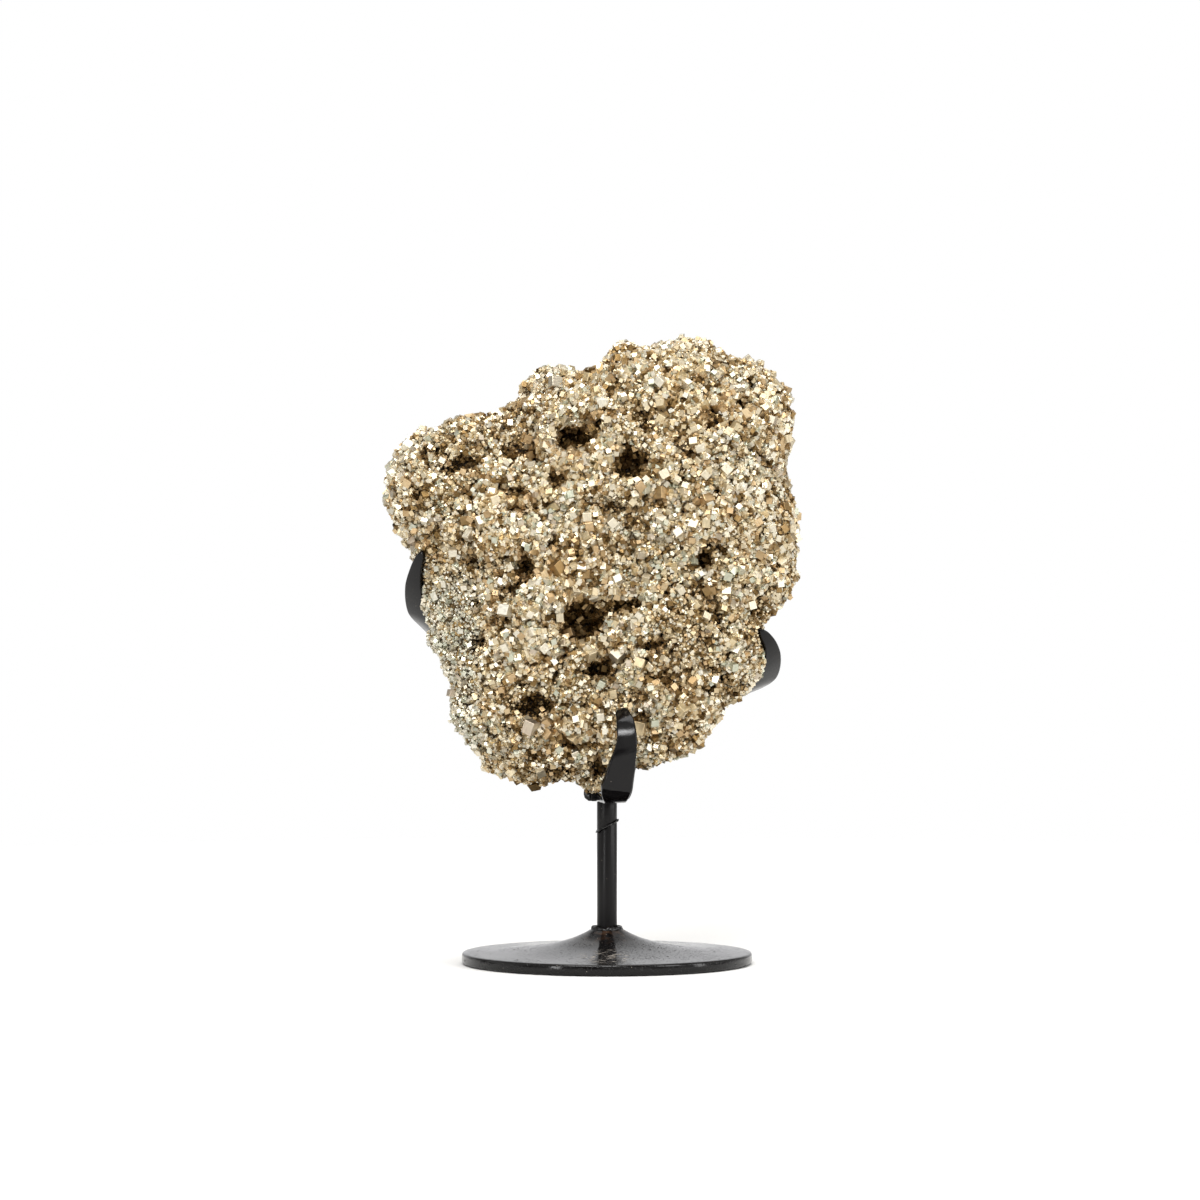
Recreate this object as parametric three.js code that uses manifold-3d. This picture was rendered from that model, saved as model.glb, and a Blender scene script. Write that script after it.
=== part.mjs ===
// A pyrite cluster held in the three bent prongs of a black iron display stand.
// Millimetres, +Z up. The origin is on the stem's axis, on the surface that the base stands on.
// The stone's best face looks along -Y.
import * as THREE from "three";
import Module from "manifold-3d";
import { ImprovedNoise } from "three/addons/math/ImprovedNoise.js";
import { mergeVertices } from "three/addons/utils/BufferGeometryUtils.js";

// ---------- driving dimensions ----------

const GAP = 0.35; // air left between pieces that touch, so that their faceted solids never share volume

// Cast disc with a flared boss in its middle.
const DISC_RADIUS = 58;
const DISC_EDGE = 4.2; // height of the rim
const RIM_BEVEL = 0.6;
const BOSS_RADIUS = 6.8;
const BOSS_TOP = 13.2;
const SOCKET_FLOOR = 4; // the stem stands in a blind hole in the boss, down to this height

// Stem of 8 mm round bar, in two lengths welded together on a slanting cut.
const STEM_RADIUS = 4;
const STEM_SIDES = 40;
const JOIN_HEIGHT = 54.6; // height of the slanting cut on the axis
const JOIN_SLOPE = Math.tan(THREE.MathUtils.degToRad(28)); // it climbs towards +X
const STUB_TOP = 64.4;

// Prongs of flat bar, wide at the root and drawn out towards the tip.
const PRONG_ROOT_THICKNESS = 3.6;
const PRONG_TIP_THICKNESS = 2.2;
const PRONG_STEPS = 56;
const PRONG_FLOOR = STUB_TOP + GAP; // underside of the prongs' roots

// Stone.
const STONE_CENTRE = new THREE.Vector3(-3, 0, 161);
const STONE_FRONT_DEPTH = 35; // from the middle plane to the front face
const STONE_BACK_DEPTH = 37;
const FOOT_LEAN = 9; // how far the foot stands forward of the middle plane
const STONE_SQUARENESS = 2.5; // 2 is a round cross-section, and higher is a flatter face with a fuller edge
const STONE_DETAIL = 21; // each edge of the starting icosahedron is cut into one more piece than this

// ---------- materials ----------

const blackEnamel = new THREE.MeshStandardMaterial({ color: 0x1c1b1c, roughness: 0.35, metalness: 0 });
const paintedWeld = new THREE.MeshStandardMaterial({ color: 0x171515, roughness: 0.5, metalness: 0 });
const pyrite = new THREE.MeshStandardMaterial({ color: 0xb9a781, roughness: 0.4, metalness: 0.9 });

const stand = new THREE.Group();

function add(name, geometry, material) {
  const mesh = new THREE.Mesh(geometry, material);
  mesh.name = name;
  stand.add(mesh);
  return mesh;
}

// Moves every vertex of a geometry to the place that the given function returns for it.
function reshape(geometry, place) {
  const position = geometry.getAttribute("position");
  const point = new THREE.Vector3();
  for (let i = 0; i < position.count; i++) {
    point.fromBufferAttribute(position, i);
    place(point);
    position.setXYZ(i, point.x, point.y, point.z);
  }
  return geometry;
}

// three.js turns profiles and cylinders about Y, so a finished one is tipped up to stand along Z.
const upright = (geometry) => geometry.rotateX(Math.PI / 2);

// ---------- base disc ----------

function baseDisc() {
  // The top climbs slowly from the rim and then sweeps up into the boss.
  const sweep = new THREE.SplineCurve([
    new THREE.Vector2(DISC_RADIUS - RIM_BEVEL, DISC_EDGE),
    new THREE.Vector2(40, 5.2),
    new THREE.Vector2(25, 7),
    new THREE.Vector2(15.5, 9.3),
    new THREE.Vector2(10, 11.5),
    new THREE.Vector2(BOSS_RADIUS, BOSS_TOP),
  ]);
  const socket = STEM_RADIUS + GAP;
  const profile = [
    new THREE.Vector2(0, 0),
    new THREE.Vector2(DISC_RADIUS - RIM_BEVEL, 0),
    new THREE.Vector2(DISC_RADIUS, RIM_BEVEL),
    new THREE.Vector2(DISC_RADIUS, DISC_EDGE - RIM_BEVEL),
    ...sweep.getSpacedPoints(14),
    new THREE.Vector2(socket, BOSS_TOP),
    new THREE.Vector2(socket, SOCKET_FLOOR),
    new THREE.Vector2(0, SOCKET_FLOOR),
  ];
  return upright(new THREE.LatheGeometry(profile, 64));
}

add("base_disc", baseDisc(), blackEnamel);

// ---------- stem ----------

// A length of round bar from one height to another; either end can be cut on the join's slant.
function roundBar(bottom, top, slantedEnd) {
  const bar = upright(new THREE.CylinderGeometry(STEM_RADIUS, STEM_RADIUS, top - bottom, STEM_SIDES));
  return reshape(bar, (p) => {
    const atTop = p.z > 0;
    p.z += (bottom + top) / 2;
    if (atTop === (slantedEnd === "top")) p.z += JOIN_SLOPE * p.x;
  });
}

add("stem_rod", roundBar(SOCKET_FLOOR + GAP, JOIN_HEIGHT - GAP / 2, "top"), blackEnamel);
add("stem_stub", roundBar(JOIN_HEIGHT + GAP / 2, STUB_TOP, "bottom"), blackEnamel);

// ---------- weld beads ----------

// A ring of weld around the stem: lumpy where each drop of metal froze, and tipped by the slope.
function weldRing(height, { beadRadius, drops, slope = 0, squash = 1 }) {
  const ringRadius = STEM_RADIUS + GAP + beadRadius * 1.08;
  const ring = new THREE.TorusGeometry(ringRadius, beadRadius, 8, 40);
  return reshape(ring, (p) => {
    const around = Math.atan2(p.y, p.x);
    const ripple = 1 - 0.09 * (1 + Math.sin(drops * around));
    const outward = Math.hypot(p.x, p.y) - ringRadius;
    const radius = ringRadius + outward * ripple;
    p.set(radius * Math.cos(around), radius * Math.sin(around), p.z * ripple * squash);
    p.z += height + slope * p.x;
  });
}

add("base_weld", weldRing(BOSS_TOP + GAP + 0.8, { beadRadius: 1, drops: 9, squash: 0.75 }), paintedWeld);
add("stem_weld", weldRing(JOIN_HEIGHT, { beadRadius: 0.5, drops: 7, slope: JOIN_SLOPE }), paintedWeld);

// ---------- prongs ----------

const at = (x, y, z) => new THREE.Vector3(x, y, z);

// The section of the flat bar, 1 wide and 1 thick, with its corners eased.
function barSection() {
  const easeAcross = 0.1;
  const easeThrough = 0.3;
  const corner = (x, y, start) =>
    new THREE.EllipseCurve(x, y, easeAcross, easeThrough, start, start + Math.PI / 2).getPoints(2);
  return new THREE.Shape([
    ...corner(0.5 - easeAcross, 0.5 - easeThrough, 0),
    ...corner(easeAcross - 0.5, 0.5 - easeThrough, Math.PI / 2),
    ...corner(easeAcross - 0.5, easeThrough - 0.5, Math.PI),
    ...corner(0.5 - easeAcross, easeThrough - 0.5, Math.PI * 1.5),
  ]);
}

// A value at a share of the way through a list of evenly spaced ones.
function between(values, share) {
  const place = share * (values.length - 1);
  const before = Math.min(Math.floor(place), values.length - 2);
  return THREE.MathUtils.lerp(values[before], values[before + 1], place - before);
}

// Which way the inner side of a prong faces: up on the flat root, then along with the bar as it bends
// up, then to the stone's middle, and at the tip the way of its grip. Twist turns it on the first climb.
function innerSide(share, centre, along, root, { grip, twist = 0 }) {
  const smooth = THREE.MathUtils.smoothstep;
  const inward = root.clone().multiplyScalar(-along.z);
  inward.z += along.dot(root);
  inward.lerp(STONE_CENTRE.clone().sub(centre).normalize(), smooth(share, 0.1, 0.4));
  inward.lerp(grip, smooth(share, 0.45, 0.85));
  inward.addScaledVector(along, -inward.dot(along)).normalize();
  const climbing = smooth(share, 0.01, 0.05) * (1 - smooth(share, 0.07, 0.25));
  return inward.applyAxisAngle(along, THREE.MathUtils.degToRad(twist) * climbing);
}

// Flat bar bent along a curve and drawn out to a rounded tip. Its widths are evenly spaced from the
// root to the tip. Swell makes it that much wider, thicker and longer.
function prong(spec, swell = 0) {
  const { points, widths } = spec;
  const root = points[1].clone().sub(points[0]).normalize();
  const end = points.at(-1);
  const beyond = end.clone().sub(points.at(-2)).setLength(swell).add(end);
  const line = new THREE.CatmullRomCurve3([...points.slice(0, -1), beyond], false, "centripetal");
  const bar = new THREE.ExtrudeGeometry(barSection(), {
    depth: 1,
    steps: PRONG_STEPS,
    bevelEnabled: false,
  });
  return reshape(bar, (p) => {
    const share = THREE.MathUtils.clamp(p.z, 0, 1);
    const centre = line.getPointAt(share);
    const along = line.getTangentAt(share);
    const inward = innerSide(share, centre, along, root, spec);
    const across = along.clone().cross(inward);
    const tip = Math.sqrt(1 - Math.pow(Math.max(0, (share - 0.97) / 0.03), 2) * 0.85);
    const width = between(widths, share) * tip + swell;
    const thickness = between([PRONG_ROOT_THICKNESS, PRONG_TIP_THICKNESS], share) * tip + swell;
    const sideways = across.multiplyScalar(p.x * width);
    const through = inward.multiplyScalar(-p.y * thickness);
    p.copy(centre).add(sideways).add(through);
  });
}

// A three-sided plate on the stub's end, with one prong fixed to each side.
const HUB_REACH = 4.6; // from the axis to the middle of each side
const FRONT_HEADING = THREE.MathUtils.degToRad(-80);

function hubPlate() {
  const clip = 0.2; // half the angle taken off each corner, in radians
  const cornerReach = HUB_REACH / Math.cos(Math.PI / 3 - clip);
  const corners = [0, 1, 2].flatMap((side) => {
    const middle = FRONT_HEADING + (Math.PI / 3) * (2 * side + 1);
    return [middle - clip, middle + clip].map(
      (heading) => new THREE.Vector2(Math.cos(heading), Math.sin(heading)).multiplyScalar(cornerReach),
    );
  });
  const plate = new THREE.ExtrudeGeometry(new THREE.Shape(corners), {
    depth: PRONG_ROOT_THICKNESS,
    bevelEnabled: false,
  });
  return plate.translate(0, 0, PRONG_FLOOR);
}

add("prong_hub", hubPlate(), blackEnamel);

// The root of a prong lies flat and points straight away from its side of the hub.
function rootPoints(heading) {
  const height = PRONG_FLOOR + PRONG_ROOT_THICKNESS / 2;
  const start = HUB_REACH + GAP;
  return [start, start + 1].map((r) => at(r * Math.cos(heading), r * Math.sin(heading), height));
}

// The front prong runs forward under the foot and turns up in front of it, and its tip leans back.
const front = {
  points: [
    ...rootPoints(FRONT_HEADING),
    at(2.4, -20, 66.6),
    at(3.2, -31, 67.3),
    at(3.6, -36.5, 71.5),
    at(5.4, -38.5, 79),
    at(7.6, -39, 89),
    at(7.2, -36, 96.5),
    at(5.4, -29.8, 102.2),
  ],
  grip: at(0, 1, 0),
  widths: [11, 10.2, 9.4, 9.4, 12.6, 10.4, 8.2, 7.2, 4.6],
};

// The side prongs turn up at once, climb behind the stone and come forward round its flanks.
const left = {
  points: [
    ...rootPoints(FRONT_HEADING - (Math.PI * 2) / 3),
    at(-6.9, 2.5, 68.8),
    at(-7.9, 3.1, 72),
    at(-9.6, 6, 77),
    at(-14.5, 11.5, 85),
    at(-27, 19, 96),
    at(-42, 24, 107),
    at(-57, 26, 119),
    at(-69, 19, 131),
    at(-75.4, 6, 140),
    at(-76.8, -5, 149),
    at(-75.4, -13.5, 157.5),
    at(-72.9, -19.5, 164.2),
  ],
  grip: at(0.3, 0.95, 0),
  twist: 34,
  widths: [11, 12, 12.5, 13, 12.6, 11.4, 9.8, 7.4, 3],
};
const right = {
  points: [
    ...rootPoints(FRONT_HEADING + (Math.PI * 2) / 3),
    at(5.6, 4.7, 68.8),
    at(6, 5.6, 72),
    at(6.6, 8.6, 77),
    at(9.5, 14, 85),
    at(19, 20, 93),
    at(32, 24, 99),
    at(46, 24.5, 104),
    at(57, 18, 108.5),
    at(63.6, 8, 114.2),
    at(65.6, -1.5, 120.5),
    at(64.6, -9.5, 127.3),
    at(60.6, -15.5, 133.4),
  ],
  grip: at(-0.3, 0.95, 0),
  widths: [11, 12, 12.5, 13, 12.6, 11.4, 9.8, 7.4, 3],
};
add("prong_front", prong(front), blackEnamel);
add("prong_left", prong(left), blackEnamel);
add("prong_right", prong(right), blackEnamel);

// ---------- stone ----------

// The outline of the stone as seen from the front, as [x, z], going round from its right flank.
const OUTLINE = [
  [76, 162], [77, 169], [73.5, 195], [73.3, 203], [75.5, 209], [74.6, 219.7], [73, 228], [63.5, 240.2],
  [50, 242.4], [46.7, 246.5], [40.6, 250], [33.4, 250.9], [15.2, 246.7], [5, 250], [-3, 241],
  [-12.2, 236.4], [-22.9, 240.6], [-28, 239], [-34.7, 232.3], [-36, 225.2], [-47, 219.5], [-58, 219.7],
  [-64.4, 216.3], [-77, 212.6], [-83.6, 205.5], [-89.8, 196.2], [-89, 192], [-90.4, 184.6], [-88, 178],
  [-81, 167.8], [-76, 159], [-73, 147], [-72, 130.3], [-65.5, 114], [-62, 108], [-63.8, 97.3],
  [-60, 90], [-51, 81.5], [-43.5, 73], [-36, 71], [-13, 70.6], [-5, 69], [0, 72], [8, 78], [26.6, 79.9],
  [37, 83], [43, 93], [51.3, 103], [60, 110], [62.5, 121], [63, 132], [66, 140], [73, 142.5],
  [78, 152.5], [77, 157],
];

// The radius of the outline from the stone's centre, at an angle in the front view.
function makeOutlineRadius() {
  const polar = OUTLINE.map(([x, z]) => {
    const dx = x - STONE_CENTRE.x;
    const dz = z - STONE_CENTRE.z;
    return { angle: (Math.atan2(dz, dx) + 2 * Math.PI) % (2 * Math.PI), radius: Math.hypot(dx, dz) };
  }).sort((a, b) => a.angle - b.angle);
  return (angle) => {
    const turned = (angle + 2 * Math.PI) % (2 * Math.PI);
    const next = polar.findIndex((k) => k.angle > turned);
    const b = polar[next < 0 ? 0 : next];
    const a = polar[(next < 0 ? polar.length : next || polar.length) - 1];
    const span = (b.angle - a.angle + 2 * Math.PI) % (2 * Math.PI);
    const share = ((turned - a.angle + 2 * Math.PI) % (2 * Math.PI)) / span;
    return THREE.MathUtils.lerp(a.radius, b.radius, share);
  };
}

// The widest hollows between the crystals of the front face: [x, z, radius, depth].
const VUGS = [
  [-14, 209, 11, 7],
  [9, 200, 11, 6],
  [-36, 157, 9, 6],
  [-9, 137, 13, 9],
  [39, 160, 10, 5],
  [-3, 117, 9, 5],
  [-29, 103, 10, 5],
];

function stone() {
  const outlineRadius = makeOutlineRadius();
  const noise = new ImprovedNoise();
  const grain = (p, size) => noise.noise(p.x / size + 7.3, p.y / size + 1.9, p.z / size + 4.1);
  const ball = new THREE.IcosahedronGeometry(1, STONE_DETAIL);
  return reshape(ball, (p) => {
    // Split the direction into its share in the front view's plane and its share in depth.
    const angle = Math.atan2(p.z, p.x);
    const inPlane = Math.hypot(p.x, p.z);
    const power = STONE_SQUARENESS;
    const size = Math.pow(Math.pow(inPlane, power) + Math.pow(Math.abs(p.y), power), 1 / power);
    const outward = p.clone();
    const radius = (outlineRadius(angle) * inPlane) / size;
    // The stone thins towards its foot, which hangs forward between the prongs.
    const heightShare = THREE.MathUtils.smoothstep(radius * Math.sin(angle), -85, 10);
    const fullDepth = p.y < 0 ? STONE_FRONT_DEPTH : STONE_BACK_DEPTH;
    const depth = (fullDepth * THREE.MathUtils.lerp(0.62, 1, heightShare) * p.y) / size;
    p.set(radius * Math.cos(angle), depth, radius * Math.sin(angle)).add(STONE_CENTRE);
    p.y -= FOOT_LEAN * (1 - heightShare);
    // Lumps of intergrown crystals, low along the outline and high on the faces.
    const facing = Math.abs(outward.y);
    const lump = 8 * grain(p, 38) * facing + (0.8 + 2.6 * facing) * grain(p, 14);
    p.addScaledVector(outward, lump);
    for (const [x, z, reach, sink] of VUGS) {
      const distance = Math.hypot(p.x - x, p.z - z) / reach;
      if (p.y < 0 && distance < 1) p.y += sink * Math.pow(1 - distance * distance, 2);
    }
  });
}

const wasm = await Module();
wasm.setup();

function toSolid(geometry) {
  const bare = new THREE.BufferGeometry();
  bare.setAttribute("position", geometry.getAttribute("position"));
  bare.setIndex(geometry.index);
  const merged = mergeVertices(bare);
  return new wasm.Manifold(
    new wasm.Mesh({
      numProp: 3,
      vertProperties: merged.getAttribute("position").array,
      triVerts: new Uint32Array(merged.index.array),
    }),
  );
}

// The stone is worn away where the prongs press on it. Any crumb that this cuts loose falls off.
function stoneInGrip() {
  const pressed = [front, left, right].map((spec) => toSolid(prong(spec, 3 * GAP)));
  const worn = pressed.reduce((solid, tool) => solid.subtract(tool), toSolid(stone()));
  const whole = worn.decompose().sort((a, b) => b.volume() - a.volume())[0];
  const { vertProperties, triVerts } = whole.getMesh();
  const geometry = new THREE.BufferGeometry();
  geometry.setAttribute("position", new THREE.BufferAttribute(vertProperties, 3));
  geometry.setIndex(new THREE.BufferAttribute(triVerts, 1));
  geometry.computeVertexNormals();
  return geometry;
}

add("pyrite_cluster", stoneInGrip(), pyrite);

export default stand;
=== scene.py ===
import math

import bmesh
import bpy
import numpy as np
from mathutils import Matrix, Vector, noise
from mathutils.bvhtree import BVHTree


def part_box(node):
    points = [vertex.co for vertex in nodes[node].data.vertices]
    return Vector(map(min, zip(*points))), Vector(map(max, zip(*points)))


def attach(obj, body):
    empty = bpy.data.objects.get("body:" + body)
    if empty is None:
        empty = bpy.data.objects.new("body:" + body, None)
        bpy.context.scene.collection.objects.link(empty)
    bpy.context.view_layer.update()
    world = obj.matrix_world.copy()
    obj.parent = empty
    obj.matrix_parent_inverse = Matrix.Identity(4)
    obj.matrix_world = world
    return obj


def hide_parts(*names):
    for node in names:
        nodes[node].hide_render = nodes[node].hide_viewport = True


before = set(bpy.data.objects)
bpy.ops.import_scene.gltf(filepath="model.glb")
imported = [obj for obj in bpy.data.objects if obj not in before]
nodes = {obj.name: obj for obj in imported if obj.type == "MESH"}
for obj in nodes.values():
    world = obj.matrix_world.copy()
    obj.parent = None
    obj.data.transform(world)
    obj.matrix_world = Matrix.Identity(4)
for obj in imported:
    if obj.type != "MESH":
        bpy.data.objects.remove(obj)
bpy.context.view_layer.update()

MM = 0.001

# ---------------------------------------------------------------------------------------------
# The table and the studio. The piece stands on a sheet of matt white paper, under soft lamps,
# in a room that is white in some directions and dim in others, so the crystals have both to mirror.
# ---------------------------------------------------------------------------------------------


def srgb(code, alpha=1.0):
    """A colour written as an sRGB hex code, as the linear numbers that shaders take."""
    parts = [int(code[i : i + 2], 16) / 255 for i in (1, 3, 5)]
    linear = [p / 12.92 if p <= 0.04045 else ((p + 0.055) / 1.055) ** 2.4 for p in parts]
    return (*linear, alpha)


def node(tree, kind, settings=None, **links):
    """Adds a shader node. Settings are its properties, links are its inputs: sockets or values."""
    made = tree.nodes.new(kind)
    for key, value in (settings or {}).items():
        setattr(made, key, value)
    for key, value in links.items():
        numbered = key.startswith("in") and key[2:].isdigit()
        socket = made.inputs[int(key[2:])] if numbered else made.inputs[key.replace("_", " ")]
        if isinstance(value, bpy.types.NodeSocket):
            tree.links.new(value, socket)
        else:
            socket.default_value = value
    return made


camera_data = bpy.data.cameras.new("camera")
camera_data.lens = 120
camera_data.sensor_width = 36
camera_data.clip_start = 0.05
camera_data.clip_end = 50
camera = bpy.data.objects.new("camera", camera_data)
camera.location = (-2.8 * MM, -1.6, 145 * MM)
camera.rotation_euler = (math.pi / 2, 0, 0)
bpy.context.scene.collection.objects.link(camera)
bpy.context.scene.camera = camera
bpy.context.scene.view_settings.view_transform = "Standard"
bpy.context.scene.view_settings.look = "None"

PAPER_RADIUS = 0.9
PAPER_FADE = 0.45  # from here out to its edge the paper melts into the white behind it

paper_shape = bmesh.new()
bmesh.ops.create_circle(paper_shape, cap_ends=True, segments=96, radius=PAPER_RADIUS)
paper_mesh = bpy.data.meshes.new("paper")
paper_shape.to_mesh(paper_mesh)
paper_shape.free()
paper_mesh.transform(Matrix.Translation((0, 0, -0.3 * MM)))
paper = bpy.data.objects.new("paper", paper_mesh)
bpy.context.scene.collection.objects.link(paper)

# Matt white card: no gloss at all, so it gives the disc a soft pale ground with no hot spot.
card = bpy.data.materials.new("matt white card")
card.use_nodes = True
tree = card.node_tree
tree.nodes.clear()
where = node(tree, "ShaderNodeTexCoord")
reach = node(tree, "ShaderNodeVectorMath", {"operation": "LENGTH"}, in0=where.outputs["Object"])
fade = node(
    tree,
    "ShaderNodeMapRange",
    {"interpolation_type": "SMOOTHSTEP"},
    Value=reach.outputs["Value"],
    From_Min=PAPER_FADE,
    From_Max=PAPER_RADIUS * 0.98,
)
fibre = node(tree, "ShaderNodeTexNoise", None, Vector=where.outputs["Object"], Scale=900.0, Detail=3.0)
white = node(
    tree,
    "ShaderNodeMix",
    {"data_type": "RGBA"},
    in0=fibre.outputs["Fac"],
    in6=srgb("#D9D8D6"),
    in7=srgb("#DFDEDC"),
)
matt = node(tree, "ShaderNodeBsdfDiffuse", None, Color=white.outputs[2])
clear = node(tree, "ShaderNodeBsdfTransparent")
both = node(
    tree, "ShaderNodeMixShader", None, in0=fade.outputs["Result"], in1=matt.outputs[0], in2=clear.outputs[0]
)
node(tree, "ShaderNodeOutputMaterial", None, Surface=both.outputs[0])
paper_mesh.materials.append(card)

# The room: pure white where the camera looks straight at it. What the crystals mirror has broad
# bright and dim parts, which is what makes one face flash while its neighbour stays dark. The wall
# behind the piece is white, and the level top of the disc mirrors it.
room = bpy.data.worlds.new("room")
room.use_nodes = True
bpy.context.scene.world = room
tree = room.node_tree
tree.nodes.clear()
way = node(tree, "ShaderNodeTexCoord")
patches = node(
    tree, "ShaderNodeTexNoise", None, Vector=way.outputs["Generated"], Scale=2.6, Detail=2.0, Roughness=0.5
)
dim_and_bright = node(tree, "ShaderNodeValToRGB", None, Fac=patches.outputs["Fac"])
ramp = dim_and_bright.color_ramp
ramp.elements[0].position = 0.36
ramp.elements[0].color = (0.10, 0.10, 0.105, 1)
ramp.elements[1].position = 0.62
ramp.elements[1].color = (0.84, 0.83, 0.81, 1)
middle = ramp.elements.new(0.5)
middle.color = (0.55, 0.55, 0.545, 1)
compass = node(tree, "ShaderNodeSeparateXYZ", None, Vector=way.outputs["Generated"])
wall = node(
    tree,
    "ShaderNodeMapRange",
    {"interpolation_type": "SMOOTHSTEP"},
    Value=compass.outputs["Y"],
    From_Min=0.75,
    From_Max=0.95,
)
lit = node(
    tree,
    "ShaderNodeMix",
    {"data_type": "RGBA"},
    in0=wall.outputs[0],
    in6=dim_and_bright.outputs["Color"],
    in7=(0.75, 0.75, 0.76, 1),
)
room_light = node(tree, "ShaderNodeBackground", None, Color=lit.outputs[2], Strength=1.2)
backdrop = node(tree, "ShaderNodeBackground", None, Color=(1, 1, 1, 1), Strength=1.0)
ray = node(tree, "ShaderNodeLightPath")
seen = node(
    tree,
    "ShaderNodeMixShader",
    None,
    in0=ray.outputs["Is Camera Ray"],
    in1=room_light.outputs[0],
    in2=backdrop.outputs[0],
)
node(tree, "ShaderNodeOutputWorld", None, Surface=seen.outputs[0])

# Soft boxes: name, place, width and height in metres, watts, and whether it shows as a reflection.
SOFT_BOXES = [
    ("key", (-0.4, -1.5, 1.6), 1.5, 0.45, 28, True),
    ("key core", (-0.4, -1.45, 1.55), 1.2, 0.1, 7, True),
    ("fill", (1.5, -1.2, 0.8), 0.7, 1.0, 11, True),
    ("top", (0.1, -0.1, 1.6), 1.0, 1.0, 14, True),
    ("back", (0.4, 1.7, 1.0), 0.9, 0.9, 16, False),
    ("left strip", (-1.15, -1.35, 0.15), 0.22, 0.7, 5, True),
    ("right strip", (1.6, -0.35, 0.4), 0.3, 1.0, 5, True),
]
for name, place, width, height, watts, mirrored in SOFT_BOXES:
    lamp_data = bpy.data.lights.new(name, "AREA")
    lamp_data.shape = "RECTANGLE"
    lamp_data.size = width
    lamp_data.size_y = height
    lamp_data.energy = watts
    lamp = bpy.data.objects.new(name, lamp_data)
    lamp.location = place
    aim = Vector((0, 0, 150 * MM)) - Vector(place)
    lamp.rotation_euler = aim.to_track_quat("-Z", "Y").to_euler()
    lamp.visible_camera = False
    lamp.visible_glossy = mirrored
    bpy.context.scene.collection.objects.link(lamp)

# ---------------------------------------------------------------------------------------------
# Base. A cast iron disc, flat below, that sweeps up to a boss with a blind hole for the stem.
# It was dipped in black stoving enamel, which pooled smooth on the wide top.
# ---------------------------------------------------------------------------------------------

disc_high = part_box("base_disc")[1]
DISC_RADIUS = disc_high.x
DISC_EDGE = 4.2 * MM
RIM_BEVEL = 0.6 * MM
BOSS_RADIUS = 6.8 * MM
BOSS_TOP = disc_high.z
SOCKET_RADIUS = 4.12 * MM
SOCKET_FLOOR = 4 * MM


def finish_piece(shape, name, material, smooth=True):
    """Turns a bmesh into a shown piece of the stand or the stone, with its place in its mesh."""
    bmesh.ops.recalc_face_normals(shape, faces=shape.faces)
    mesh = bpy.data.meshes.new(name)
    shape.to_mesh(mesh)
    shape.free()
    mesh.polygons.foreach_set("use_smooth", [smooth] * len(mesh.polygons))
    mesh.materials.append(material)
    piece = bpy.data.objects.new(name, mesh)
    bpy.context.scene.collection.objects.link(piece)
    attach(piece, "root")
    return piece


def flecks(tree, spot):
    """Dust and tiny chips, about a third of a millimetre across and few: 1 on a fleck, 0 off it."""
    grit = node(tree, "ShaderNodeTexVoronoi", None, Vector=spot, Scale=1 / (1.9 * MM))
    near = node(
        tree,
        "ShaderNodeMapRange",
        None,
        Value=grit.outputs["Distance"],
        From_Min=0.10,
        From_Max=0.05,
    )
    few = node(tree, "ShaderNodeSeparateColor", None, Color=grit.outputs["Color"])
    chosen = node(tree, "ShaderNodeMath", {"operation": "GREATER_THAN"}, in0=few.outputs[0], in1=0.72)
    both = node(
        tree, "ShaderNodeMath", {"operation": "MULTIPLY"}, in0=near.outputs[0], in1=chosen.outputs[0]
    )
    return both.outputs[0]


def rusted(tree, spot, tone, reach):
    """The tone with rust come through it in blotches, thickest at the stem and none past reach."""
    level_spot = node(tree, "ShaderNodeMapping", None, Vector=spot, Scale=(1, 1, 0))
    radius = node(tree, "ShaderNodeVectorMath", {"operation": "LENGTH"}, in0=level_spot.outputs[0])
    close_in = node(
        tree,
        "ShaderNodeMapRange",
        None,
        Value=radius.outputs["Value"],
        From_Min=reach,
        From_Max=reach * 0.4,
    )
    blotch = node(tree, "ShaderNodeTexNoise", None, Vector=spot, Scale=1 / (3 * MM), Detail=4.0)
    bloom = node(
        tree, "ShaderNodeMapRange", None, Value=blotch.outputs["Fac"], From_Min=0.5, From_Max=0.7
    )
    share_rust = node(
        tree, "ShaderNodeMath", {"operation": "MULTIPLY"}, in0=close_in.outputs[0], in1=bloom.outputs[0]
    )
    mixed = node(
        tree,
        "ShaderNodeMix",
        {"data_type": "RGBA"},
        in0=share_rust.outputs[0],
        in6=tone,
        in7=srgb("#3A291D"),
    )
    return mixed.outputs[2]


def pits(tree, spot):
    """Pits where the enamel shrank from dust, up to a millimetre across, thicker on some parts."""
    pore = node(tree, "ShaderNodeTexNoise", None, Vector=spot, Scale=1 / (0.8 * MM), Detail=1.0)
    crowd = node(tree, "ShaderNodeTexNoise", None, Vector=spot, Scale=1 / (14 * MM), Detail=2.0)
    both = node(
        tree,
        "ShaderNodeMath",
        {"operation": "MULTIPLY_ADD"},
        in0=crowd.outputs["Fac"],
        in1=0.35,
        in2=pore.outputs["Fac"],
    )
    pit = node(tree, "ShaderNodeMapRange", None, Value=both.outputs[0], From_Min=0.78, From_Max=0.90)
    return pit.outputs[0]


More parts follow.
